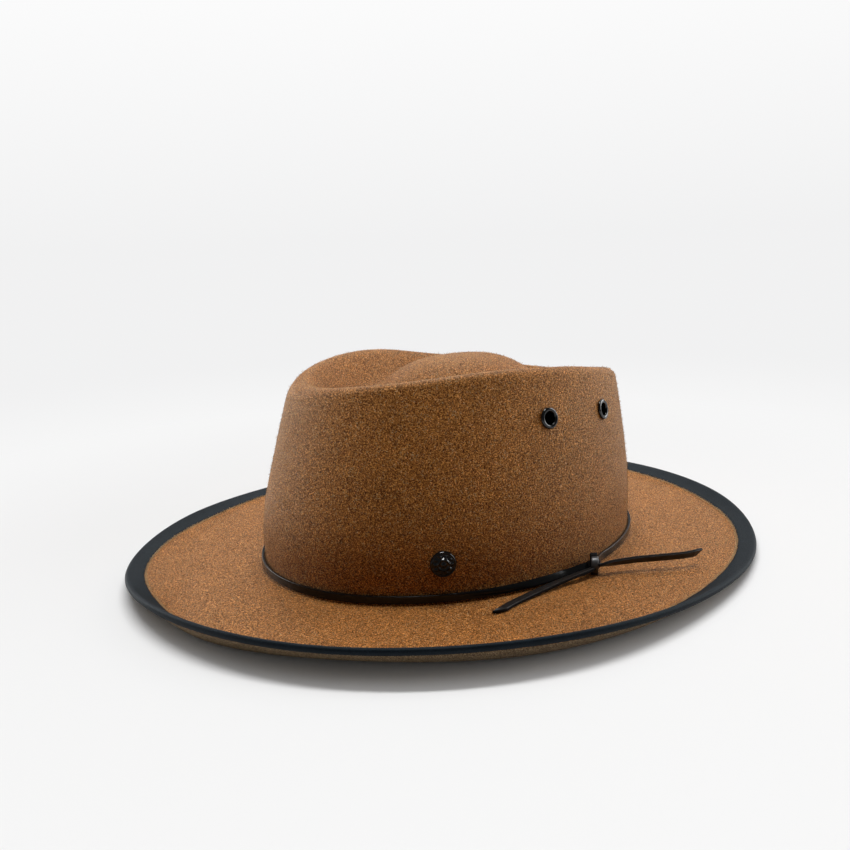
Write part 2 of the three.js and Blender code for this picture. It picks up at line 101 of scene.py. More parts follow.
# The binding, and the paring of the felt's edge that it lies in
RIBBON = 0.5
RIBBON_ON_TOP = 8.3
RIBBON_BELOW = 2
RIBS = 1500
RIB_HEIGHT = 0.035
RIB_POINTS = 3
HEM_WAVES = [{"height": 0.09, "count": 61, "start": 0}, {"height": 0.06, "count": 97, "start": 1}]
EDGE_PARING = 0.4
TOP_PARING_START = RIBBON_ON_TOP + GAP
LOW_PARING_START = RIBBON_BELOW + GAP
FELT_SET_BACK = 1.2

# The lace, and the band that it makes round the crown: near the knot the band rises and stands off the felt
LACE_WIDTH = 3.4
LACE_THICKNESS = 1.4
LACE_ROUNDING = 0.16
BAND_HEIGHT = 2.8
BAND_CLEARANCE = 0.35
BAND_WAVE_HEIGHT = 0.12
BAND_WAVES = 5
BAND_HEIGHT_AT_KNOT = 4.0
BAND_STAND_OFF_AT_KNOT = 5.0
BAND_REACH_TO_KNOT = 9
BAND_END_ANGLE = 0.6
BAND_RINGS = 721

# How the band leans against the crown, as pairs of the angle round the hat and the lean: 0 stands upright
BAND_LEANS = [(0, 6), (45, 4), (68, 16), (84, 40), (90, 40), (95, 3), (120, 2), (150, 2), (180, 10),
              (270, 10), (360, 6)]

# The knot's angle and middle, and the middle lines of the lace's two free ends
KNOT_ANGLE = 90
KNOT = (90.6, -0.4, 4.7)
FRONT_TAIL = [
    (91.7, -1.6, 3.4), (91.6, -4.4, 3.3), (91.3, -6.8, 3.25), (90.9, -9.4, 3.15), (90.4, -12.2, 3.0),
    (89.9, -15.2, 2.85), (89.3, -18.4, 2.65), (88.6, -22.0, 2.4), (87.9, -26.0, 2.1), (87.3, -30.0, 1.85),
    (86.9, -34.0, 1.65), (86.5, -38.3, 1.45), (86.2, -42.7, 1.3), (86.0, -47.2, 1.15), (85.9, -52.4, 1.1),
    (86.3, -57.3, 1.1), (87.1, -63.2, 1.1),
]
REAR_TAIL = [
    (93.2, -1.8, 4.8), (94.6, 0.4, 4.9), (95.3, 1.7, 5.0), (96.3, 3.5, 5.1), (97.5, 5.6, 5.2),
    (99.1, 8.1, 5.3), (101.0, 10.9, 5.4), (102.9, 13.7, 5.5), (105.0, 16.4, 5.55), (107.1, 18.9, 5.65),
    (109.2, 21.4, 5.7), (111.3, 23.9, 5.8), (113.4, 26.5, 5.85), (115.5, 29.2, 5.9), (117.5, 31.9, 6.0),
    (119.0, 34.6, 6.1), (120.9, 38.9, 6.3),
]

# The tails: how each turns about its middle line on its way, where 0 lies flat and 90 stands on edge, and how
# many mm its cut end slants for each mm of width
TAILS = [
    {"name": "lace_tail_front_strap", "leather": "front_leather", "route": FRONT_TAIL,
     "tilts": (-14, -9, -2, 2, 3), "cut": 1.8},
    {"name": "lace_tail_rear_strap", "leather": "rear_leather_painted_lit", "route": REAR_TAIL,
     "tilts": (25, 50, 60, 64, 66, 68), "cut": 0.95},
]
POINTS_PER_SPAN = 5
CUT_MARGIN = 0.5

# The knot: a core, and turns of lace with the way each faces, its half depth and half height, its place
# against the knot's middle, and whether it shows the lace's rough side
# The dark, matte rough side on the rear and low turns is partly painted shade, for the gap behind the knot
# and the shadow under it.
KNOT_CORE = (2.6, 2.6, 3.4)
KNOT_LOOPS = [
    {"name": "front", "turn": 55, "tip": 0, "radius": 3.0, "height": 3.6, "move": (0.2, -0.3, -0.8),
     "rough": False},
    {"name": "rear", "turn": 50, "tip": 4, "radius": 2.2, "height": 3.4, "move": (-1.3, 1.3, 0.4),
     "rough": True},
    {"name": "low", "turn": 60, "tip": 12, "radius": 2.2, "height": 2.2, "move": (-1.0, 0.1, -1.6),
     "rough": True},
]
LOOP_ROUNDING = 0.6

# The stud and the eyelets
STUD = {"angle": 47.5, "height": 17.8}
STUD_POST_RADIUS = 1.3
HOLE_CLEARANCE = 0.1
EYELETS = {
    "eyelet_left_front": {"angle": 78.8, "height": 73.0},
    "eyelet_left_rear": {"angle": 104.5, "height": 70.3},
    "eyelet_right_front": {"angle": -78.8, "height": 73.0},
    "eyelet_right_rear": {"angle": -104.5, "height": 70.3},
}
EYELET_RADIUS = 4.9
EYELET_HOLE_RADIUS = 3
EYELET_BARREL_RADIUS = 3.5
EYELET_HEIGHT = 1.35

# The camera, fitted to the photograph: its place, turn, dip and roll, and its focal length in pixels
CAMERA_DISTANCE = 456.3
CAMERA_ANGLE = 44.2
CAMERA_HEIGHT = 156.7
VIEW_ANGLE = 45.79
VIEW_DIP = 11.8
VIEW_ROLL = -2.1
FOCAL_PIXELS = 900
IMAGE_PIXELS = 850
SENSOR_WIDTH = 36


def add_camera():
    angle = math.radians(CAMERA_ANGLE)
    view = math.radians(VIEW_ANGLE)
    dip = math.radians(VIEW_DIP)
    roll = math.radians(VIEW_ROLL)
    forward = Vector((-math.sin(view) * math.cos(dip), math.cos(view) * math.cos(dip), -math.sin(dip)))
    level = Vector((math.cos(view), math.sin(view), 0))
    upright = level.cross(forward)
    right = level * math.cos(roll) + upright * math.sin(roll)
    up = upright * math.cos(roll) - level * math.sin(roll)
    data = bpy.data.cameras.new("camera")
    data.sensor_width = SENSOR_WIDTH
    data.lens = FOCAL_PIXELS / IMAGE_PIXELS * SENSOR_WIDTH
    data.clip_start = 0.01
    data.clip_end = 50
    camera = bpy.data.objects.new("camera", data)
    bpy.context.scene.collection.objects.link(camera)
    turn = Matrix((right, up, -forward)).transposed().to_4x4()
    place = Vector((math.sin(angle), -math.cos(angle), 0)) * CAMERA_DISTANCE * MM
    place.z = CAMERA_HEIGHT * MM
    camera.matrix_world = Matrix.Translation(place) @ turn
    bpy.context.scene.camera = camera


# Smooth curves through the tables
def between(before, start, end, after, share):
    start_slope = (end - before) / 2
    end_slope = (after - start) / 2
    cubic = 2 * (start - end) + start_slope + end_slope
    square = 3 * (end - start) - 2 * start_slope - end_slope
    return ((cubic * share + square) * share + start_slope) * share + start


def around(table, column, angle):
    values = np.array([row[column] for row in table], float)
    count = len(values)
    place = (np.asarray(angle, float) % 360) / 360 * count
    row = np.floor(place).astype(int)
    nearby = [values[(row + offset) % count] for offset in (-1, 0, 1, 2)]
    return between(*nearby, place - row)


def up_the_wall(column, height):
    values = np.array([row[column] for row in WALL], float)
    place = np.maximum(np.asarray(height, float), 0) / WALL_ROW_HEIGHT
    row = np.minimum(np.floor(place).astype(int), len(values) - 2)
    nearby = [values[np.clip(row + offset, 0, len(values) - 1)] for offset in (-1, 0, 1, 2)]
    return between(*nearby, place - row)


def smoothstep(value, low, high):
    share = np.clip((value - low) / (high - low), 0, 1)
    return share * share * (3 - 2 * share)


def unit(vectors):
    return vectors / np.maximum(np.linalg.norm(vectors, axis=-1, keepdims=True), 1e-12)


def stack(x, y, z):
    x, y, z = np.broadcast_arrays(np.asarray(x, float), y, z)
    return np.stack([x, y, z], axis=-1)


# Places on the hat's outer surface, and depth under it, for arrays of angles
def outward(angle):
    turn = np.radians(angle)
    return unit(stack(np.sin(turn) / CROWN_HALF_WIDTH, -np.cos(turn) / CROWN_HALF_LENGTH, 0))


def wall_place(angle, height):
    turn = np.radians(angle)
    scale = up_the_wall("scale", height)
    x = CROWN_HALF_WIDTH * scale * np.sin(turn)
    y = -CROWN_HALF_LENGTH * scale * np.cos(turn) + up_the_wall("shift", height)
    return stack(x, y, height)


def wall_normal(angle, height):
    height = np.asarray(height, float)
    side = outward(angle)
    rise = wall_place(angle, height + 1) - wall_place(angle, height - 1)
    inwards = -np.sum(rise * side, axis=-1) / 2
    return unit(stack(side[..., 0], side[..., 1], inwards))


def wall_point(angle, height, depth):
    return wall_place(angle, height) - wall_normal(angle, height) * depth


def rim_start(angle):
    radius = around(CROWN_TOP, "rim_radius", angle)
    return around(CROWN_TOP, "rim", angle) - radius * (1 - math.sin(WALL_LEAN_AT_RIM))


def rim_point(angle, tilt, depth):
    radius = around(CROWN_TOP, "rim_radius", angle)
    side = outward(angle)
    place = wall_place(angle, rim_start(angle))
    out = (radius - depth) * math.cos(tilt) - radius * math.cos(WALL_LEAN_AT_RIM)
    rise = (radius - depth) * math.sin(tilt) - radius * math.sin(WALL_LEAN_AT_RIM)
    place = place + side * out[..., None]
    place[..., 2] += rise
    return place


def top_place(angle, reach):
    rim = rim_point(angle, math.pi / 2, 0)
    crease = around(CROWN_TOP, "crease", angle)
    inward = around(CROWN_TOP, "inward", angle)
    fall = 0.5 + 0.5 * np.cos(np.pi * np.clip(reach / inward, 0, 1) ** DOME_ROUNDNESS)
    dome = crease + (DOME_HEIGHT - crease) * fall
    climb = crease + (rim[..., 2] - crease) * smoothstep(reach, inward, 1)
    height = np.where(reach <= inward, dome, climb)
    return stack(reach * rim[..., 0], DOME_BACK_SHIFT + reach * (rim[..., 1] - DOME_BACK_SHIFT), height)


def top_point(angle, reach, depth):
    turn = top_place(angle + 1, reach) - top_place(angle - 1, reach)
    run = top_place(angle, reach + 0.01) - top_place(angle, reach - 0.01)
    return top_place(angle, reach) - unit(np.cross(run, turn)) * depth


def fillet_point(angle, tilt, depth):
    place = wall_place(angle, 0) + outward(angle) * (FILLET - (FILLET + depth) * math.cos(tilt))
    place[..., 2] = FILLET - (FILLET + depth) * math.sin(tilt)
    return place


def brim_point(angle, from_edge, depth):
    width = around(BRIM, "width", angle)
    curl = around(BRIM, "curl", angle)
    lift = around(BRIM, "lift", angle)
    out = width - from_edge
    share = np.maximum(0, (out - width + curl) / curl)
    lean = np.arctan(lift * CURL_POWER * share ** (CURL_POWER - 1) / curl)
    place = wall_place(angle, 0) + outward(angle) * (out + depth * np.sin(lean))[..., None]
    place[..., 2] = lift * share ** CURL_POWER - depth * np.cos(lean)
    return place


# Meshes from rings of points
def steps_around(count):
    return np.arange(count) * 360 / count


def add_mesh(name, points, quads, triangles=(), smooth=True):
    """A mesh of points in millimetres above the brim, with its faces turned outwards."""
    quads = np.asarray(quads, int).reshape(-1, 4)
    triangles = np.asarray(triangles, int).reshape(-1, 3)
    a, b, c = points[np.vstack([quads[:, [0, 1, 2]], quads[:, [0, 2, 3]], triangles]).T]
    volume = np.sum(a * np.cross(b, c)) / 6
    if volume < 0:
        quads = quads[:, ::-1]
        triangles = triangles[:, ::-1]
    raised = np.asarray(points, float) + (0, 0, FELT)
    mesh = bpy.data.meshes.new(name)
    mesh.from_pydata((raised * MM).tolist(), [], quads.tolist() + triangles.tolist())
    if smooth:
        mesh.shade_smooth()
    mesh.update()
    piece = bpy.data.objects.new(name, mesh)
    bpy.context.scene.collection.objects.link(piece)
    return piece


def ring_faces(count, size, joined):
    rows = np.arange(count if joined else count - 1)
    steps = np.arange(size)
    row, step = np.meshgrid(rows, steps, indexing="ij")
    after = (row + 1) % count
    beside = (step + 1) % size
    quads = np.stack([row * size + step, row * size + beside, after * size + beside, after * size + step], -1)
    return quads.reshape(-1, 4)


def skin(name, rings, joined=False, ends=None):
    """A closed mesh over rings of points: the last ring joins the first, or both ends run to a point."""
    rings = np.asarray(rings, float)
    count, size = rings.shape[:2]
    points = rings.reshape(-1, 3)
    quads = ring_faces(count, size, joined)
    triangles = []
    if not joined:
        points = np.vstack([points, ends[0], ends[1]])
        start = count * size
        base = (count - 1) * size
        steps = np.arange(size)
        beside = (steps + 1) % size
        first = np.stack([np.full(size, start), beside, steps], -1)
        last = np.stack([np.full(size, start + 1), base + steps, base + beside], -1)
        triangles = np.vstack([first, last])
    return add_mesh(name, points, quads, triangles)


def finish_piece(piece, slot, material, *nodes):
    piece.data.materials.clear()
    piece.data.materials.append(material)
    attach(piece, "root")
    if nodes:
        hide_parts(*nodes)


# Material building blocks
class NodeTree:
    """Short ways to add nodes to a tree of them."""

    def __init__(self, tree):
        self.nodes = tree.nodes
        self.links = tree.links

    def add(self, kind, inputs=None, **settings):
        node = self.nodes.new(kind)
        for name, value in settings.items():
            setattr(node, name, value)
        for name, value in (inputs or {}).items():
            self.feed(node.inputs[name], value)
        return node

    def feed(self, socket, value):
        if isinstance(value, bpy.types.NodeSocket):
            self.links.new(value, socket)
        else:
            socket.default_value = value

    def join(self, share, first, second, output):
        """Shows a mix of two shaders as the surface."""
        mixer = self.add("ShaderNodeMixShader", {0: share})
        self.links.new(first, mixer.inputs[1])
        self.links.new(second, mixer.inputs[2])
        self.links.new(mixer.outputs[0], self.nodes[output].inputs["Surface"])

    def rising(self, value, low, high, start=0, end=1, curve="SMOOTHSTEP"):
        """The start up to the low value, the end from the high one, and a rise between them."""
        inputs = {"Value": value, "From Min": low, "From Max": high, "To Min": start, "To Max": end}
        return self.add("ShaderNodeMapRange", inputs, interpolation_type=curve).outputs["Result"]

    def mix(self, factor, first, second, blend="MIX"):
        """A mix of two colours. The node takes the share in socket 0, and the colours in 6 and 7."""
        inputs = {0: factor}
        for socket, colour in ((6, first), (7, second)):
            inputs[socket] = (*colour, 1) if isinstance(colour, tuple) else colour
        return self.add("ShaderNodeMix", inputs, data_type="RGBA", blend_type=blend).outputs[2]


class Shader(NodeTree):
    """A material, and short ways to set and feed its surface."""

    def __init__(self, name):
        self.material = bpy.data.materials.new(name)
        self.material.use_nodes = True
        super().__init__(self.material.node_tree)
        self.surface = self.nodes["Principled BSDF"]

    def set(self, **values):
        for name, value in values.items():
            self.feed(self.surface.inputs[name.replace("_", " ")], value)

    def place(self):
        return self.add("ShaderNodeTexCoord").outputs["Object"]

    def stretched(self, vector, scale, turn):
        inputs = {"Vector": vector, "Scale": scale, "Rotation": turn}
        return self.add("ShaderNodeMapping", inputs).outputs["Vector"]

    def noise(self, vector, scale, detail, roughness=0.5, distortion=0.0):
        inputs = {"Vector": vector, "Scale": scale, "Detail": detail}
        inputs |= {"Roughness": roughness, "Distortion": distortion}
        return self.add("ShaderNodeTexNoise", inputs).outputs["Fac"]

    def ramp(self, factor, stops):
        node = self.add("ShaderNodeValToRGB", {"Fac": factor})
        elements = node.color_ramp.elements
        while len(elements) < len(stops):
            elements.new(0.5)
        for element, (position, colour) in zip(elements, stops):
            element.position = position
            element.color = (*colour, 1)
        return node.outputs["Color"]

    def times(self, first, second):
        return self.mix(1.0, first, second, "MULTIPLY")

    def math(self, operation, first, second):
        return self.add("ShaderNodeMath", {0: first, 1: second}, operation=operation).outputs["Value"]

    def bump(self, height, strength, distance):
        """Links a fine relief to the surface: its height, how strongly it shows, and its depth in metres."""
        inputs = {"Height": height, "Strength": strength, "Distance": distance}
        self.set(Normal=self.add("ShaderNodeBump", inputs).outputs["Normal"])


# Materials. A ramp is pairs of a noise's value and the colour or grey there. The strands' ramps multiply the
# felt's base colour: dark between the fibres and pale on them.
STRANDS_STRETCH = (1, 0.5, 1)
STRANDS_TURN = (0.5, 0.9, 0.7)
FELT_BROAD = [(0.3, (0.216, 0.0695, 0.0125)), (0.7, (0.296, 0.096, 0.0175))]
FELT_PATCHES = [(0.3, (0.208, 0.064, 0.0108)), (0.7, (0.296, 0.0985, 0.0188))]
FELT_STRANDS = [(0.36, (0.25, 0.21, 0.18)), (0.5, (0.88, 0.86, 0.84)), (0.63, (2.1, 2.4, 2.8))]
FELT_OTHER_STRANDS = [(0.36, (0.38, 0.35, 0.32)), (0.52, (1, 1, 1)), (0.66, (1.8, 2.0, 2.3))]
FELT_GLEAM = [(0.34, (0.12,) * 3), (0.5, (0.42,) * 3), (0.65, (0.95,) * 3)]
FELT_TINT = (1.0, 0.74, 0.28, 1)
FELT_SHEEN = (1.0, 0.76, 0.4, 1)

# Painted shade: the felt's down-facing faces get a darker, greyer colour, the more so the further they look
# down.
UNDERSIDE_SHADE_FACTOR = (0.4, 0.72, 2.0)
UNDERSIDE_SHADE_FROM = -0.03
UNDERSIDE_SHADE_WHOLE = -0.35

RIBBON_BASE = [(0.3, (0.0021, 0.0035, 0.0054)), (0.7, (0.0037, 0.006, 0.009))]
RIBBON_SPECKS = [(0.3, (0.6, 0.62, 0.66)), (0.75, (1.9, 1.9, 1.85))]
RIBBON_TINT = (0.72, 0.9, 1.0, 1)
RIBBON_SHEEN = (0.8, 0.92, 1.0, 1)

# Copies of the lace's one black leather. Their base greys differ as painted light: much lighter on the knot's
# front turn and the rear tail, a little lighter on the front tail, darkest on the band.
LEATHERS = {
    "front_leather": {"shade": 0.006, "gloss": 0.35, "roughness": 0.38},
    "rear_leather_painted_lit": {"shade": 0.03, "gloss": 0.3, "roughness": 0.4},
    "knot_leather_painted_lit": {"shade": 0.022, "gloss": 0.75, "roughness": 0.42},
    "band_leather": {"shade": 0.003, "gloss": 0.3, "roughness": 0.16},
}
LEATHER_ROUGHNESS_SPREAD = 0.06
CUT_EDGE_BASE = [(0.3, (0.0025, 0.002, 0.002)), (0.7, (0.007, 0.0055, 0.005))]

ENAMEL_BASE = [(0.3, (0.001,) * 3), (0.7, (0.002,) * 3)]
ENAMEL_ROUGHNESS = [(0.3, (0.06,) * 3), (0.7, (0.1,) * 3)]


def felt_material():
    shader = Shader("felt")
    place = shader.place()
    broad = shader.noise(place, scale=26, detail=2)
    patches = shader.noise(place, scale=150, detail=3, roughness=0.6)
    strands = shader.noise(place, scale=1850, detail=2, distortion=0.8)
    leaning = shader.stretched(place, STRANDS_STRETCH, STRANDS_TURN)
    other_strands = shader.noise(leaning, scale=2700, detail=1, distortion=0.6)
    colour = shader.mix(0.5, shader.ramp(broad, FELT_BROAD), shader.ramp(patches, FELT_PATCHES))
    colour = shader.times(colour, shader.ramp(strands, FELT_STRANDS))
    colour = shader.times(colour, shader.ramp(other_strands, FELT_OTHER_STRANDS))
    # Painted shade: faces that look down are darkened and greyed
    facing = shader.add("ShaderNodeNewGeometry").outputs["Normal"]
    rise = shader.add("ShaderNodeSeparateXYZ", {0: facing}).outputs["Z"]
    underside_shade = shader.rising(rise, UNDERSIDE_SHADE_FROM, UNDERSIDE_SHADE_WHOLE, curve="LINEAR")
    colour = shader.mix(underside_shade, colour, shader.times(UNDERSIDE_SHADE_FACTOR, colour))
    height = shader.math("ADD", strands, shader.math("MULTIPLY", other_strands, 0.8))
    shader.bump(height, strength=0.6, distance=0.0006)
    shader.set(Base_Color=colour, Roughness=0.55)
    shader.set(Specular_IOR_Level=shader.ramp(strands, FELT_GLEAM), Specular_Tint=FELT_TINT)
    shader.set(Sheen_Weight=0.2, Sheen_Roughness=0.2, Sheen_Tint=FELT_SHEEN)
    return shader.material


def ribbon_material():
    shader = Shader("ribbon")
    place = shader.place()
    wear = shader.noise(place, scale=160, detail=3, roughness=0.6)
    threads = shader.noise(place, scale=1800, detail=2, roughness=0.6)
    colour = shader.times(shader.ramp(wear, RIBBON_BASE), shader.ramp(threads, RIBBON_SPECKS))
    shader.bump(threads, strength=0.35, distance=0.0002)
    shader.set(Base_Color=colour, Roughness=0.6, Specular_IOR_Level=0.11, Specular_Tint=RIBBON_TINT)
    shader.set(Sheen_Weight=0.02, Sheen_Roughness=0.4, Sheen_Tint=RIBBON_SHEEN)
    return shader.material


def leather_material(name):
    leather = LEATHERS[name]
    shade = leather["shade"]
    shader = Shader(name)
    place = shader.place()
    grain = shader.noise(place, scale=900, detail=3, roughness=0.6)
    tone = shader.noise(place, scale=140, detail=2)
    # Painted light: the base grey is set for each copy of one leather
    base = [(0.3, (shade * 0.7,) * 3), (0.7, (shade * 1.3, shade * 1.3, shade * 1.35))]
    low = leather["roughness"] - LEATHER_ROUGHNESS_SPREAD
    high = leather["roughness"] + LEATHER_ROUGHNESS_SPREAD
    roughness = shader.ramp(grain, [(0.3, (low,) * 3), (0.7, (high,) * 3)])
    shader.bump(grain, strength=0.25, distance=0.00015)
    shader.set(Base_Color=shader.ramp(tone, base), Roughness=roughness, Specular_IOR_Level=leather["gloss"])
    return shader.material


def cut_edge_material():
    """The lace's dyed, rough cut edges."""
    shader = Shader("cut_edge")
    grain = shader.noise(shader.place(), scale=1400, detail=2, roughness=0.6)
    shader.bump(grain, strength=0.4, distance=0.0001)
    shader.set(Base_Color=shader.ramp(grain, CUT_EDGE_BASE), Roughness=0.75, Specular_IOR_Level=0.12)
    return shader.material


def enamel_material():
    shader = Shader("enamel")
    pits = shader.noise(shader.place(), scale=700, detail=2)
    shader.bump(pits, strength=0.06, distance=0.0001)
    shader.set(Base_Color=shader.ramp(pits, ENAMEL_BASE), Specular_IOR_Level=0.5)
    shader.set(Roughness=shader.ramp(pits, ENAMEL_ROUGHNESS))
    return shader.material


def fibre_material(name, colour):
    shader = Shader(name)
    shader.set(Base_Color=(*colour, 1), Roughness=0.8, Specular_IOR_Level=0.2)
    return shader.material


# The felt's gentle unevenness: waves through space, in radians for each mm. It grows between two heights, and
# between two more it turns from in and out to up and down.
UNEVEN_FROM = 6
UNEVEN_WHOLE = 20
UPWARD_FROM = 60
UPWARD_WHOLE = 95
WAVES = [
    {"way": (0.031, 0.045, 0.052), "start": 0.4, "height": 0.16},
    {"way": (-0.052, 0.027, 0.071), "start": 2.1, "height": 0.12},
    {"way": (0.083, -0.061, 0.034), "start": 4.4, "height": 0.09},
    {"way": (0.11, 0.13, -0.09), "start": 1.3, "height": 0.05},
    {"way": (-0.17, 0.12, 0.15), "start": 5.2, "height": 0.035},
]


def unevenness(points):
    total = np.zeros(points.shape[:-1])
    for wave in WAVES:
        total += wave["height"] * np.sin(points @ np.array(wave["way"]) + wave["start"])
    return total * smoothstep(points[..., 2], UNEVEN_FROM, UNEVEN_WHOLE)


# How many rings each stretch of the felt has on its two faces, from the crown's middle to the brim's edge
OUTER_RINGS = {"top": 28, "slope": 20, "rim": 11, "wall": 44, "fillet": 7, "flat": 20, "curl": 22}
INNER_RINGS = {"top": 14, "slope": 9, "rim": 6, "wall": 18, "fillet": 5, "flat": 9, "curl": 10}
FELT_POINTS_AROUND = 360
RINGS_UNDER_RIBBON = 5


def surface_places(top, slope, rim, wall, fillet, flat, curl):
    """A function for each ring, which gives its places from angles and a depth under the outside."""
    places = []
    for share in np.linspace(0, 1, top + 1)[1:]:
        places.append(lambda a, d, s=share: top_point(a, s * around(CROWN_TOP, "inward", a), d))
    for share in np.linspace(0, 1, slope + 1)[1:-1]:
        def slope_place(a, d, s=share):
            inward = around(CROWN_TOP, "inward", a)
            return top_point(a, inward + s * (1 - inward), d)
        places.append(slope_place)
    for tilt in np.linspace(math.pi / 2, WALL_LEAN_AT_RIM, rim):
        places.append(lambda a, d, s=tilt: rim_point(a, s, d))
    for share in np.linspace(1, 0, wall)[1:-1]:
        places.append(lambda a, d, s=share: wall_point(a, FILLET + s * (rim_start(a) - FILLET), d))
    for tilt in np.linspace(0, math.pi / 2, fillet):
        places.append(lambda a, d, s=tilt: fillet_point(a, s, d))
    for share in np.linspace(0, 1, flat + 1)[1:]:
        def flat_place(a, d, s=share):
            end = around(BRIM, "width", a) - FILLET
            return brim_point(a, end + s * (around(BRIM, "curl", a) - end), d)
        places.append(flat_place)
    for share in np.linspace(0, 1, curl + 1)[1:]:
        def curl_place(a, d, s=share):
            curl_width = np.maximum(around(BRIM, "curl", a), TOP_PARING_START + 0.3)
            return brim_point(a, curl_width + s * (TOP_PARING_START - curl_width), d)
        places.append(curl_place)
    return places


def pared_rings(angles, start, depth, pared_depth):
    """Rings over the pared strip and half the rounded edge of the felt, which the ribbon hides."""
    stations = [(start, depth), (start - 0.08, depth + 0.25 * (pared_depth - depth))]
    stations += [(from_edge, pared_depth) for from_edge in (start - 0.16, start / 2, FELT_SET_BACK + 0.3)]
    stations += [(FELT_SET_BACK, pared_depth + 0.25 * (FELT / 2 - pared_depth))]
    return [brim_point(angles, from_edge, at_depth) for from_edge, at_depth in stations]


def raise_by_unevenness(rings):
    """Moves the felt in and out across its thickness, by the same amount on both faces."""
    points = np.array(rings)
    out = unit(points * (1, 1, 0))
    level = smoothstep(points[..., 2], UPWARD_FROM, UPWARD_WHOLE)[..., None]
    return points + (out * (1 - level) + np.array((0, 0, 1)) * level) * unevenness(points)[..., None]


def felt_rings():
    angles = steps_around(FELT_POINTS_AROUND)
    outer = [place(angles, 0.0) for place in surface_places(**OUTER_RINGS)]
    inner = [place(angles, FELT) for place in surface_places(**INNER_RINGS)]
    outer += pared_rings(angles, TOP_PARING_START, 0.0, EDGE_PARING)[-RINGS_UNDER_RIBBON:]
    inner += pared_rings(angles, LOW_PARING_START, FELT, FELT - EDGE_PARING)
    return raise_by_unevenness(outer), raise_by_unevenness(inner)


def drill(piece, place, radius):
    """Cuts a round hole square through the crown wall."""
    origin, normal = seat(place)
    bpy.ops.mesh.primitive_cylinder_add(vertices=48, radius=radius * MM, depth=6 * FELT * MM)
    cutter = bpy.context.object
    turn = Vector((0, 0, 1)).rotation_difference(Vector(normal)).to_matrix().to_4x4()
    cutter.matrix_world = Matrix.Translation(Vector(origin + (0, 0, FELT)) * MM) @ turn
    bpy.context.view_layer.update()
    modifier = piece.modifiers.new("hole", "BOOLEAN")
    modifier.operation = "DIFFERENCE"
    modifier.solver = "EXACT"
    modifier.object = cutter
    bpy.context.view_layer.objects.active = piece
    bpy.ops.object.modifier_apply(modifier=modifier.name)
    bpy.data.objects.remove(cutter)


def make_felt(material):
    """Makes the felt, and returns the rings of its outside that the ribbon leaves free."""
    outer, inner = felt_rings()
    rings = np.concatenate([outer, inner[::-1]])
    tops = [np.array((0, DOME_BACK_SHIFT, DOME_HEIGHT - depth)) for depth in (0, FELT)]
    piece = skin("felt_hat", rings, ends=[top + (0, 0, unevenness(top)) for top in tops])
    for place in EYELETS.values():
        drill(piece, place, EYELET_BARREL_RADIUS + HOLE_CLEARANCE)
    drill(piece, STUD, STUD_POST_RADIUS + HOLE_CLEARANCE)
    finish_piece(piece, "felt", material, "felt_body")
    return outer[:-RINGS_UNDER_RIBBON]


# Loose fibres: how many, how steeply they stand up, and their length against the usual one
FIBRE_SETS = [
    {"name": "pale_fibres", "count": 30000, "colour": (0.55, 0.36, 0.17),
     "seed": 11, "stand": 0.34, "long": 1},
    {"name": "tan_fibres", "count": 26000, "colour": (0.36, 0.16, 0.055),
     "seed": 12, "stand": 0.26, "long": 1},
    {"name": "dark_fibres", "count": 22000, "colour": (0.09, 0.038, 0.016),
     "seed": 13, "stand": 0.18, "long": 1},
]
EDGE_FUZZ = {
    "name": "edge_fuzz", "count": 12000, "colour": (0.5, 0.34, 0.18), "seed": 14, "stand": 0.5, "long": 0.7,
}
EDGE_FUZZ_SPREAD = 0.3
FIBRE_LENGTHS = (0.7, 1.7)
FIBRE_HALF_WIDTHS = (0.045, 0.085)
FIBRE_CURL = 0.6

# A fibre's middle and tip, as shares of its length along it, of its curl sideways and of its stand upwards,
# and their least height above the felt
FIBRE_MIDDLE = {"along": 0.5, "curl": 0.25, "stand": 0.8, "above": 0.1}
FIBRE_TIP = {"along": 0.8, "curl": 0.7, "stand": 0.7, "above": 0.02}


def add_strands(fibres, root, normal, random):
    """Short curled strands that start at the given places and stand a little out of the felt."""
    count = len(root)
    tangent = unit(np.cross(normal, unit(random.normal(size=(count, 3)))))
    side = np.cross(normal, tangent)
    length = random.uniform(*FIBRE_LENGTHS, (count, 1)) * fibres["long"]
    curl = random.normal(0, FIBRE_CURL, (count, 1))
    stand = np.abs(random.normal(0, fibres["stand"], (count, 1)))
    wide = side * random.uniform(*FIBRE_HALF_WIDTHS, (count, 1))
    middle, tip = [
        root + tangent * length * spot["along"] + side * curl * length * spot["curl"]
        + normal * (spot["above"] + stand * length * spot["stand"])
        for spot in (FIBRE_MIDDLE, FIBRE_TIP)
    ]
    points = np.stack([root - wide, root + wide, middle + wide, middle - wide, tip], 1).reshape(-1, 3)
    first = np.arange(count)[:, None] * 5
    quads = first + np.array([0, 1, 2, 3])
    triangles = first + np.array([3, 2, 4])
    piece = add_mesh(fibres["name"], points, quads, triangles, smooth=False)
    finish_piece(piece, "felt", fibre_material(fibres["name"], fibres["colour"]))


def make_fibres(outer, fibres):
    """Strands spread over the felt's outside by its area."""
    random = np.random.default_rng(fibres["seed"])
    corner = outer[:-1]
    across = np.roll(corner, -1, axis=1) - corner
    down = outer[1:] - corner
    normals = np.cross(across, down)
    area = np.linalg.norm(normals, axis=-1).ravel()
    normals = unit(normals).reshape(-1, 3)
    normals *= np.sign(normals[:, 2:3].sum() or 1)
    cell = random.choice(len(area), fibres["count"], p=area / area.sum())
    u = random.random((len(cell), 1))
    v = random.random((len(cell), 1))
    root = corner.reshape(-1, 3)[cell] + across.reshape(-1, 3)[cell] * u + down.reshape(-1, 3)[cell] * v
    bare = np.ones(len(root), bool)
    for place in [STUD, *EYELETS.values()]:
        bare &= np.linalg.norm(root - seat(place)[0], axis=1) > EYELET_RADIUS
    add_strands(fibres, root[bare], normals[cell][bare], random)


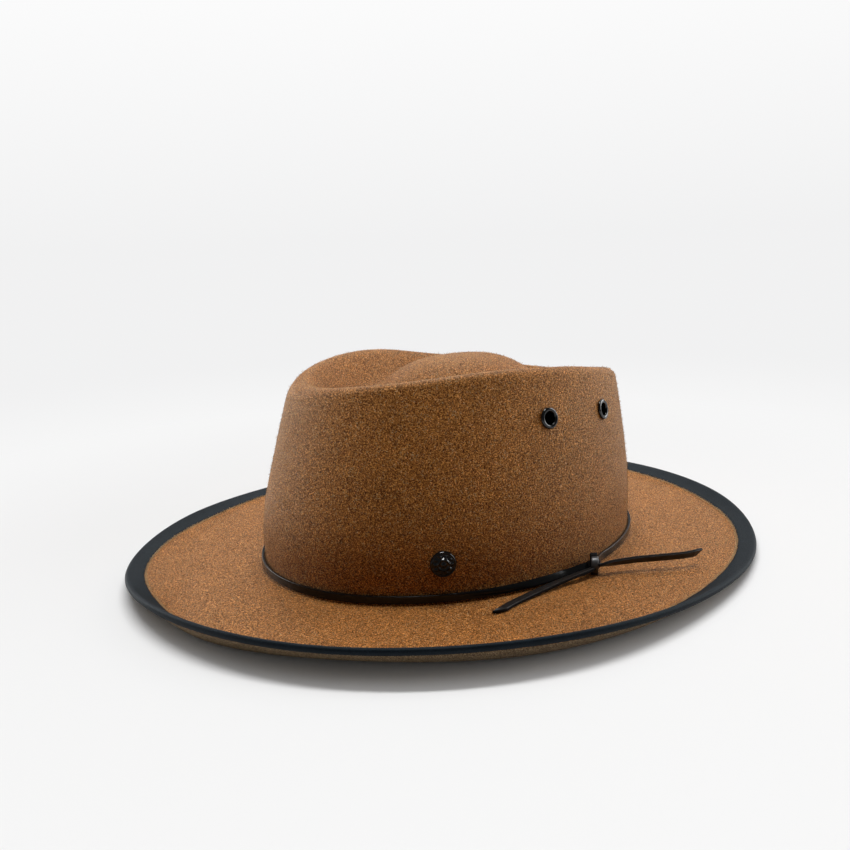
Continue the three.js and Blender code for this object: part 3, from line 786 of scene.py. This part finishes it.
def make_edge_fuzz(fibres):
    """Pale strands that the binding's inner edge has pushed up."""
    random = np.random.default_rng(fibres["seed"])
    angles = random.uniform(0, 360, fibres["count"])
    inward = TOP_PARING_START + np.abs(random.normal(0, EDGE_FUZZ_SPREAD, fibres["count"]))
    root = brim_point(angles, inward, 0.0)
    normal = unit(root - brim_point(angles, inward, 1.0))
    add_strands(fibres, root, normal, random)


# The binding: ribs run across the ribbon, and its fold is round. It lies a hair off the pared felt.
RIBBON_LIFT = 0.05
HEM_ROUNDING = 0.25
TOP_STATIONS = (6.6, 4.9, 3.3)
FOLD_STEPS = 8


def binding_stations():
    """Pairs of the distance from the brim's edge and the depth, once round the ribbon's U."""
    over = EDGE_PARING - RIBBON_LIFT
    under = FELT - EDGE_PARING + RIBBON_LIFT
    middle = FELT / 2
    fold = (under - over) / 2 + RIBBON
    stations = [(RIBBON_ON_TOP - 0.05, over), (RIBBON_ON_TOP, over - RIBBON * 0.7)]
    stations += [(s, over - RIBBON) for s in (RIBBON_ON_TOP - HEM_ROUNDING, *TOP_STATIONS, fold)]
    for turn in np.linspace(0, 180, FOLD_STEPS + 1)[1:-1]:
        swing = math.radians(turn)
        stations.append((fold * (1 - math.sin(swing)), middle - fold * math.cos(swing)))
    stations += [(s, under + RIBBON) for s in (fold, RIBBON_BELOW - HEM_ROUNDING)]
    stations += [(RIBBON_BELOW, under + RIBBON * 0.7), (RIBBON_BELOW - 0.05, under)]
    stations += [(FELT_SET_BACK - 0.1, under), (FELT_SET_BACK - 0.4, middle), (FELT_SET_BACK - 0.1, over)]
    outside = [
        depth <= over - RIBBON * 0.6 or depth >= under + RIBBON * 0.6 or from_edge < fold
        for from_edge, depth in stations
    ]
    return zip(stations, outside)


def make_binding(material):
    angles = steps_around(RIBS * RIB_POINTS)
    wave = sum(row["height"] * np.sin(np.radians(angles) * row["count"] + row["start"]) for row in HEM_WAVES)
    rib = RIB_HEIGHT * np.cos(2 * np.pi * np.arange(len(angles)) / RIB_POINTS)
    rings = []
    for (from_edge, depth), outside in binding_stations():
        ridge = rib if outside else 0
        at_side = np.where(from_edge > RIBBON_ON_TOP - 1, wave, 0)
        away = -1 if depth < FELT / 2 else 1
        rings.append(brim_point(angles, from_edge + at_side, depth + away * ridge))
    piece = skin("bound_edge", rings, joined=True)
    finish_piece(piece, "ribbon", material, "brim_binding")


# Flat laces. A section has four points for each rounded corner, and these of its steps are its narrow sides.
LACE_EDGE_STEPS = (7, 15)


def lace_section(rounding):
    """A rounded rectangle, as pairs across the lace's width and through its thickness."""
    corners = [(1, 1, 0), (-1, 1, 90), (-1, -1, 180), (1, -1, 270)]
    outline = []
    for wide, thick, start in corners:
        for turn in (0, 30, 60, 90):
            swing = math.radians(start + turn)
            x = wide * (LACE_WIDTH / 2 - rounding) + rounding * math.cos(swing)
            y = thick * (LACE_THICKNESS / 2 - rounding) + rounding * math.sin(swing)
            outline.append((x, y))
    return np.array(outline)


def strap_rings(path, wide, thick, cut=0.0):
    """Rings of a lace along a path. The cut slants its far end by so many mm for each mm of width."""
    section = lace_section(LACE_ROUNDING)
    rings = []
    for centre, across, through in zip(path, wide, thick):
        rings.append(centre + across * section[:, :1] + through * section[:, 1:])
    if cut:
        reach = cut * LACE_WIDTH / 2 + CUT_MARGIN
        left = np.append(np.cumsum(np.linalg.norm(np.diff(path[::-1], axis=0), axis=1))[::-1], 0)
        rings = [ring for ring, rest in zip(rings, left) if rest > reach or rest == 0]
        rings[-1] = rings[-1] + unit(path[-1] - path[-2]) * section[:, :1] * cut
    return np.array(rings)


def smooth_path(points):
    """A smooth curve through the points."""
    points = np.array(points, float)
    padded = np.vstack([2 * points[0] - points[1], points, 2 * points[-1] - points[-2]])
    path = []
    for index in range(1, len(padded) - 2):
        for share in np.arange(POINTS_PER_SPAN) / POINTS_PER_SPAN:
            path.append(between(*padded[index - 1:index + 3], share))
    path.append(points[-1])
    return np.array(path)


def frames_along(path, tilts):
    """Width and thickness directions along a path: a tilt of 0 lies flat, and 90 stands on edge."""
    ahead = unit(np.gradient(path, axis=0))
    level = unit(np.cross(ahead, (0, 0, 1)))
    upward = np.cross(level, ahead)
    tilt = np.radians(tilts)[:, None]
    wide = level * np.cos(tilt) + upward * np.sin(tilt)
    return wide, np.cross(ahead, wide)


def show_cut_edges(piece, edge_material, size, cut_from):
    """The faces of a lace's two narrow sides, and of its ends, get the rough material."""
    piece.data.materials.append(edge_material)
    numbers = np.zeros(len(piece.data.polygons), int)
    steps = np.arange(cut_from) % size
    numbers[:cut_from] = np.isin(steps, LACE_EDGE_STEPS)
    numbers[cut_from:] = 1
    piece.data.polygons.foreach_set("material_index", numbers)


def make_tail(row, cut_edge):
    path = smooth_path(row["route"])
    share = np.linspace(0, 1, len(path))
    stops = np.linspace(0, 1, len(row["tilts"]))
    wide, thick = frames_along(path, np.interp(share, stops, row["tilts"]))
    rings = strap_rings(path, wide, thick, row["cut"])
    piece = skin(row["name"], rings, ends=(rings[0].mean(0), rings[-1].mean(0)))
    finish_piece(piece, "lace", leather_material(row["leather"]), row["name"].replace("_strap", ""))
    show_cut_edges(piece, cut_edge, rings.shape[1], (len(rings) - 1) * rings.shape[1])


def make_band(leather):
    angles = KNOT_ANGLE + np.linspace(BAND_END_ANGLE, 360 - BAND_END_ANGLE, BAND_RINGS)
    away = np.minimum(np.abs(angles - KNOT_ANGLE), np.abs(angles - KNOT_ANGLE - 360))
    nearness = 1 - smoothstep(away, 0, BAND_REACH_TO_KNOT)
    leans = np.array(BAND_LEANS, float)
    lean = np.radians(np.interp(angles % 360, leans[:, 0], leans[:, 1]))
    stand_off = BAND_CLEARANCE + LACE_WIDTH / 2 * np.abs(np.sin(lean)) + LACE_THICKNESS / 2 * np.cos(lean)
    stand_off = stand_off + nearness * (BAND_STAND_OFF_AT_KNOT - stand_off)
    wave = BAND_WAVE_HEIGHT * np.sin(np.radians(angles) * BAND_WAVES) ** 2
    stand_off = stand_off + wave * (1 - nearness)
    side = outward(angles)
    path = wall_place(angles, 0) + side * stand_off[:, None]
    path[:, 2] = BAND_HEIGHT + nearness * (BAND_HEIGHT_AT_KNOT - BAND_HEIGHT)
    lean = lean[:, None]
    upward = np.array((0.0, 0.0, 1.0))
    wide = upward * np.cos(lean) - side * np.sin(lean)
    thick = side * np.cos(lean) + upward * np.sin(lean)
    rings = strap_rings(path, wide, thick)
    piece = skin("band_strap", rings, ends=(rings[0].mean(0), rings[-1].mean(0)))
    finish_piece(piece, "lace", leather, "band_lace")


# How finely the knot's turns and its core are drawn
LOOP_STEPS = 64
CORE_STEPS = 40
CORE_RINGS = 24


def full_turn(steps):
    return np.linspace(0, 2 * np.pi, steps + 1)[:-1]


def knot_loop(loop):
    """Rings of one turn of lace, an upright oval whose axis is turned and tipped."""
    turn = math.radians(loop["turn"])
    tip = math.radians(loop["tip"])
    axis = np.array((math.sin(turn) * math.cos(tip), math.cos(turn) * math.cos(tip), math.sin(tip)))
    side = unit(np.cross(axis, (0, 0, 1)))
    up = np.cross(side, axis)
    swings = full_turn(LOOP_STEPS)[:, None]
    centre = np.array(KNOT) + loop["move"]
    path = centre + loop["radius"] * np.cos(swings) * side + loop["height"] * np.sin(swings) * up
    ahead = unit(np.roll(path, -1, axis=0) - np.roll(path, 1, axis=0))
    away = np.cross(ahead, axis)
    section = lace_section(LOOP_ROUNDING)
    return np.array([p + axis * section[:, :1] + t * section[:, 1:] for p, t in zip(path, away)])


def make_knot(leather, cut_edge):
    pieces = []
    for loop in KNOT_LOOPS:
        piece = skin("knot_" + loop["name"], knot_loop(loop), joined=True)
        # The rough turns are dark and matte, partly as painted shade behind and under the knot
        piece.data.materials.append(cut_edge if loop["rough"] else leather)
        pieces.append(piece)
    swings = full_turn(CORE_STEPS)
    rings = []
    for turn in np.linspace(0, np.pi, CORE_RINGS + 2)[1:-1]:
        ring = stack(np.sin(turn) * np.cos(swings), np.sin(turn) * np.sin(swings), np.cos(turn))
        rings.append(ring * KNOT_CORE + KNOT)
    ends = [np.array(KNOT) + (0, 0, rise) for rise in (KNOT_CORE[2], -KNOT_CORE[2])]
    core = skin("tied_knot", rings, ends=ends)
    finish_piece(core, "lace", cut_edge, "lace_knot")
    join_pieces(core, pieces)


def join_pieces(first, others):
    bpy.ops.object.select_all(action="DESELECT")
    for piece in [first, *others]:
        piece.select_set(True)
    bpy.context.view_layer.objects.active = first
    bpy.ops.object.join()


# Round metal pieces, turned about the crown wall's normal
def seat(place):
    return wall_place(place["angle"], place["height"]), wall_normal(place["angle"], place["height"])


def polar_rings(place, profile, relief=None, count=96):
    """Rings of points round the wall's normal. profile is pairs of radius and height above the felt."""
    origin, normal = seat(place)
    side = unit(np.cross((0, 0, 1), normal))
    up = np.cross(normal, side)
    swings = full_turn(count)
    spoke = np.cos(swings)[:, None] * side + np.sin(swings)[:, None] * up
    rings = []
    for radius, height in profile:
        extra = relief(radius, swings) if relief else 0
        rings.append(origin + spoke * radius + normal * np.reshape(height + extra, (-1, 1)))
    return rings


# The stud: a low dome with a plain relief, inside a raised rim. The rim, the skirt under it and the washer
# are pairs of radius and height, and the washer's heights are from its top.
DOME_RADIUS = 4.7
DOME_TOP = 2.35
DOME_FALL = 0.042
DOME_RINGS = 40
BOSS = {"height": 0.6, "from": 0.3, "to": 1.3}
RING = {"height": 0.65, "radius": 2.35, "width": 0.42}
FLUTES = {"height": 0.4, "count": 10, "from": 2.8, "whole": 3.4, "fading": 4.0, "to": 4.5}
STUD_RIM = [(4.78, 1.42), (4.86, 1.62), (5.0, 1.74), (5.2, 1.76), (5.42, 1.62), (5.6, 1.3), (5.72, 0.95)]
STUD_SKIRT = [(5.75, 0.7), (5.74, 0.45), (5.6, 0.3), (5.2, 0.28), (1.35, 0.28), (STUD_POST_RADIUS, 0.1)]
STUD_POST_END = -FELT - 1.8
WASHER_TOP = -FELT - 0.7
WASHER = [(1.6, 0), (4.8, 0), (4.97, -0.15), (5.0, -0.4), (4.9, -0.7), (4.6, -0.8), (1.6, -0.8)]


def rosette(radius, swings):
    """A plain boss inside a ring, and short flutes between the ring and the stud's rim."""
    if radius > DOME_RADIUS:
        return 0
    boss = BOSS["height"] * (1 - smoothstep(radius, BOSS["from"], BOSS["to"]))
    ring = RING["height"] * np.exp(-(((radius - RING["radius"]) / RING["width"]) ** 2))
    reach = smoothstep(radius, FLUTES["from"], FLUTES["whole"])
    reach *= 1 - smoothstep(radius, FLUTES["fading"], FLUTES["to"])
    return boss + ring + FLUTES["height"] * np.cos(FLUTES["count"] * swings) * reach


def make_stud(material):
    profile = [(r, DOME_TOP - DOME_FALL * r * r) for r in np.linspace(0.15, DOME_RADIUS, DOME_RINGS)]
    profile += STUD_RIM + STUD_SKIRT + [(STUD_POST_RADIUS, STUD_POST_END)]
    origin, normal = seat(STUD)
    ends = origin + normal * (DOME_TOP + BOSS["height"] / 2), origin + normal * STUD_POST_END
    piece = skin("stud_dome", polar_rings(STUD, profile, rosette), ends=ends)
    finish_piece(piece, "enamel", material, "stud_cap")
    washer = [(radius, WASHER_TOP + height) for radius, height in WASHER]
    back = skin("stud_washer", polar_rings(STUD, washer, count=64), joined=True)
    finish_piece(back, "enamel", material, "stud_back")


# An eyelet: a rolled rim on the felt, a barrel through it, and a flange inside the crown
ROLL_FOOT = 0.25
ROLL_TURNS = (20, 175)
ROLL_RINGS = 14
FLANGE_TOP = -FELT - 0.5
FLANGE_END = FLANGE_TOP - 0.8


def eyelet_profile():
    rim, barrel, hole = EYELET_RADIUS, EYELET_BARREL_RADIUS, EYELET_HOLE_RADIUS
    roll = (rim - hole) / 2
    profile = [(barrel, GAP), (rim - 0.15, GAP), (rim, GAP + 0.12)]
    for turn in np.linspace(*ROLL_TURNS, ROLL_RINGS):
        swing = math.radians(turn)
        height = GAP + ROLL_FOOT + (EYELET_HEIGHT - GAP - ROLL_FOOT) * math.sin(swing)
        profile.append((hole + roll + roll * math.cos(swing), height))
    profile += [(hole, 0.1), (hole, FLANGE_TOP), (hole + 0.1, FLANGE_TOP - 0.5), (hole + 0.4, FLANGE_END)]
    profile += [(rim - 0.6, FLANGE_END), (rim - 0.3, FLANGE_END + 0.3)]
    return profile + [(rim - 0.3, FLANGE_TOP), (barrel, FLANGE_TOP)]


def make_eyelet(node, place, material):
    rings = polar_rings(place, eyelet_profile(), count=64)
    piece = skin(node.replace("eyelet", "vent"), rings, joined=True)
    finish_piece(piece, "enamel", material, node)


# The floor is lit near the hat and glows farther off, in metres from its middle. The sky it meets is as white
# as its far part, and paler still higher up.
NEAR_WHITE = (0.955, 0.955, 0.953)
FAR_WHITE = (0.88, 0.88, 0.883)
HIGH_WHITE = (0.975, 0.975, 0.976)
FLOOR_WHITE = (0.8, 0.8, 0.8)
FLOOR_RADIUS = 6
GLOW_FROM = 0.2
GLOW_WHOLE = 0.42
FAR_WHITE_FROM = 0.1
FAR_WHITE_WHOLE = 0.8
HIGH_WHITE_RISE = 0.26


def add_floor():
    bpy.ops.mesh.primitive_circle_add(vertices=128, radius=FLOOR_RADIUS, fill_type="NGON", location=(0, 0, 0))
    floor = bpy.context.object
    floor.name = "floor"
    shader = Shader("pale_floor")
    distance = shader.add("ShaderNodeVectorMath", {0: shader.place()}, operation="LENGTH").outputs["Value"]
    far = shader.rising(distance, GLOW_FROM, GLOW_WHOLE)
    farther = shader.rising(distance, FAR_WHITE_FROM, FAR_WHITE_WHOLE)
    shader.set(Base_Color=(*FLOOR_WHITE, 1), Roughness=0.9, Specular_IOR_Level=0.1)
    colour = shader.mix(farther, NEAR_WHITE, FAR_WHITE)
    glow = shader.add("ShaderNodeEmission", {"Color": colour, "Strength": 1.0})
    shader.join(far, shader.surface.outputs[0], glow.outputs[0], "Material Output")
    floor.data.materials.append(shader.material)
    return floor


# Softboxes that light the hat alone, and the floor alone: the direction round the hat, the distance and
# height of the box's middle in metres, its width and height, and its power
HAT_LIGHTS = [
    {"name": "top_light", "angle": 225, "away": 0.1, "up": 2.2, "size": (0.8, 0.8), "power": 33.5},
    {"name": "left_light", "angle": 292, "away": 1.6, "up": 0.6, "size": (1, 1), "power": 17.5},
    {"name": "right_light", "angle": 152, "away": 1.6, "up": 0.6, "size": (1, 1), "power": 17.5},
    {"name": "back_light", "angle": 225, "away": 1.3, "up": 1.5, "size": (1, 1), "power": 17},
    {"name": "back_right_light", "angle": 188, "away": 1.7, "up": 0.7, "size": (1, 0.8), "power": 3.5},
    {"name": "back_left_light", "angle": 260, "away": 1.8, "up": 0.5, "size": (1, 0.8), "power": 3},
]
FLOOR_LIGHTS = [
    {"name": "floor_key", "angle": 225, "away": 0.1, "up": 2.2, "size": (2, 0.3), "power": 35},
    {"name": "floor_fill", "angle": 45, "away": 0.3, "up": 1.8, "size": (2.4, 2.4), "power": 15},
    {"name": "floor_right", "angle": 125, "away": 1.6, "up": 0.7, "size": (1.2, 1), "power": 5},
    {"name": "floor_front", "angle": 45, "away": 1.6, "up": 0.9, "size": (1.5, 1), "power": 3},
]
LIT_PLACE = Vector((0, 0, 0.05))


def linked_to_floor(name, link_state, floor):
    """A collection that a light is given, so that it lights only the floor, or all but the floor."""
    collection = bpy.data.collections.new(name)
    collection.objects.link(floor)
    collection.collection_objects[0].light_linking.link_state = link_state
    return collection


def add_light(row, receivers):
    data = bpy.data.lights.new(row["name"], "AREA")
    data.shape = "RECTANGLE"
    data.size, data.size_y = row["size"]
    data.energy = row["power"]
    light = bpy.data.objects.new(row["name"], data)
    turn = math.radians(row["angle"])
    place = Vector((math.sin(turn) * row["away"], -math.cos(turn) * row["away"], row["up"]))
    aim = (LIT_PLACE - place).to_track_quat("-Z", "Y").to_matrix().to_4x4()
    light.matrix_world = Matrix.Translation(place) @ aim
    light.visible_camera = False
    light.light_linking.receiver_collection = receivers
    bpy.context.scene.collection.objects.link(light)


def add_lights(floor):
    floor_alone = linked_to_floor("lit_floor", "INCLUDE", floor)
    hat_alone = linked_to_floor("lit_hat", "EXCLUDE", floor)
    for row in HAT_LIGHTS:
        add_light(row, hat_alone)
    for row in FLOOR_LIGHTS:
        add_light(row, floor_alone)


# The studio: bright behind the hat and dim on the photographer's side, and plain near-white to look at
DIM_SIDE = 0.13
BRIGHT_SIDE = 0.3
BRIGHT_WAY = (-0.71, 0.71, 0)
DIM_UP_TO = -0.1
BRIGHT_FROM = 0.8


def add_sky():
    world = bpy.data.worlds.new("studio")
    world.use_nodes = True
    sky = NodeTree(world.node_tree)
    way = sky.add("ShaderNodeTexCoord").outputs["Generated"]
    behind = sky.add("ShaderNodeVectorMath", {0: way, 1: BRIGHT_WAY}, operation="DOT_PRODUCT")
    strength = sky.rising(behind.outputs["Value"], DIM_UP_TO, BRIGHT_FROM, DIM_SIDE, BRIGHT_SIDE)
    fill = sky.add("ShaderNodeBackground", {"Strength": strength})
    height = sky.add("ShaderNodeSeparateXYZ", {0: way}).outputs["Z"]
    share = sky.rising(height, 0, HIGH_WHITE_RISE, curve="LINEAR")
    seen = sky.nodes["Background"]
    sky.feed(seen.inputs["Color"], sky.mix(share, FAR_WHITE, HIGH_WHITE))
    looked_at = sky.add("ShaderNodeLightPath").outputs["Is Camera Ray"]
    sky.join(looked_at, fill.outputs[0], seen.outputs[0], "World Output")
    bpy.context.scene.world = world
    bpy.context.scene.view_settings.view_transform = "Standard"


add_camera()
cut_edge = cut_edge_material()
for row in TAILS:
    make_tail(row, cut_edge)
make_knot(leather_material("knot_leather_painted_lit"), cut_edge)
make_band(leather_material("band_leather"))
outer_felt = make_felt(felt_material())
for fibres in FIBRE_SETS:
    make_fibres(outer_felt, fibres)
make_edge_fuzz(EDGE_FUZZ)
make_binding(ribbon_material())
enamel = enamel_material()
make_stud(enamel)
for node, place in EYELETS.items():
    make_eyelet(node, place, enamel)
add_lights(add_floor())
add_sky()
